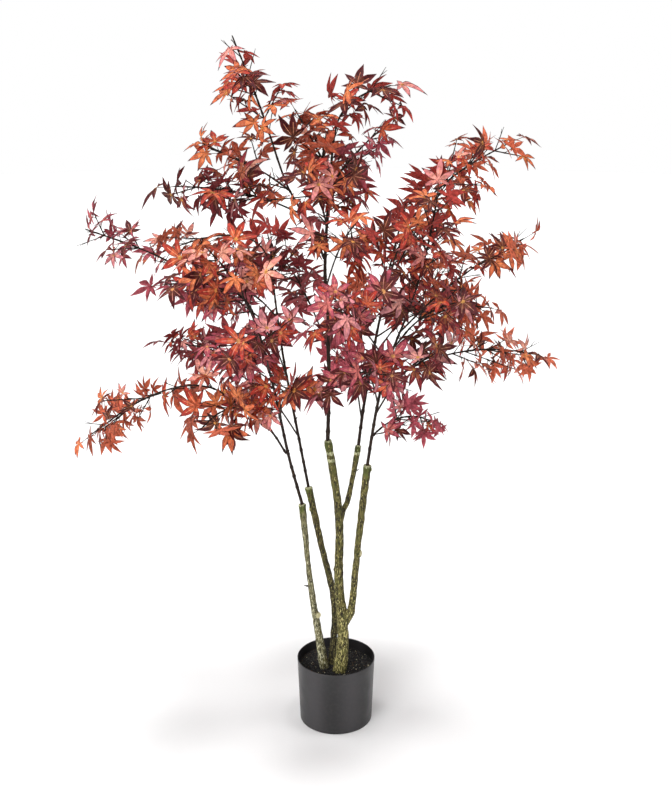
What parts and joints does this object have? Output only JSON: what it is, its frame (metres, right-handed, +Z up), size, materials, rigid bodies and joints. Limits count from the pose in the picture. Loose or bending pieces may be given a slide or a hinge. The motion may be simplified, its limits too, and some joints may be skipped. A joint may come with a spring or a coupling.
{
  "type": "artificial potted maple tree",
  "caption": "Slender artificial maple with red and orange star-shaped leaves on thin dark branches, standing in a small black nursery pot.",
  "frame": {"origin": "centre of the pot's flat underside, where it stands on the floor", "axes": "+Z up along the tree, -Y towards the front of the tree as pictured, +X to its right as seen from the front"},
  "size_m": [0.8276, 0.745, 1.2004],
  "materials": {
    "pot_black_plastic": "smooth black moulded plastic with a soft satin sheen",
    "fill_dark_grit": "rough black grit on the top of a hard cement fill",
    "trunk_bark": "matt olive-green bark with pale flecks, dark pits and mossy collars",
    "leader_dark_bark": "dark brown, nearly black, slightly glossy thin branches",
    "leaves_brick": "matt printed cloth, brick red",
    "leaves_orange": "matt printed cloth, orange",
    "leaves_burgundy": "matt printed cloth, burgundy",
    "leaves_rose": "matt printed cloth, dusty rose"
  },
  "bodies": {
    "root": {"bough_low": "leader_dark_bark", "bough_top": "leader_dark_bark", "leader_back": "leader_dark_bark", "leader_centre": "leader_dark_bark", "leader_fork": "leader_dark_bark", "leader_left": "leader_dark_bark", "leader_right": "leader_dark_bark", "pot": "pot_black_plastic", "pot_fill": "fill_dark_grit", "spray_back_left": "leaves_rose", "spray_back_left_low": "leaves_burgundy", "spray_back_low": "leaves_rose", "spray_back_middle": "leaves_orange", "spray_back_right": "leaves_brick", "spray_centre_back": "leaves_burgundy", "spray_front": "leaves_rose", "spray_front_left": "leaves_rose", "spray_front_mauve": "leaves_rose", "spray_left_back": "leaves_orange", "spray_left_burgundy": "leaves_burgundy", "spray_left_dark": "leaves_brick", "spray_left_far": "leaves_rose", "spray_left_front": "leaves_orange", "spray_left_low": "leaves_burgundy", "spray_left_middle": "leaves_rose", "spray_low_back_left": "leaves_brick", "spray_low_front": "leaves_brick", "spray_low_front_left": "leaves_orange", "spray_low_left": "leaves_orange", "spray_low_right": "leaves_rose", "spray_middle_front": "leaves_brick", "spray_right_back": "leaves_orange", "spray_right_far": "leaves_orange", "spray_right_front": "leaves_burgundy", "spray_right_low_front": "leaves_burgundy", "spray_right_low_tip": "leaves_orange", "spray_right_red": "leaves_brick", "spray_right_top": "leaves_orange", "spray_right_upper": "leaves_brick", "spray_right_upper_back": "leaves_brick", "spray_top_back": "leaves_burgundy", "spray_top_front": "leaves_brick", "spray_top_left": "leaves_brick", "spray_top_middle": "leaves_orange", "spray_top_pink": "leaves_rose", "spray_top_right": "leaves_brick", "spray_upper_left": "leaves_orange", "trunk_back": "trunk_bark", "trunk_centre": "trunk_bark", "trunk_fork": "trunk_bark", "trunk_left": "trunk_bark", "trunk_right": "trunk_bark"}
  },
  "joints": []
}
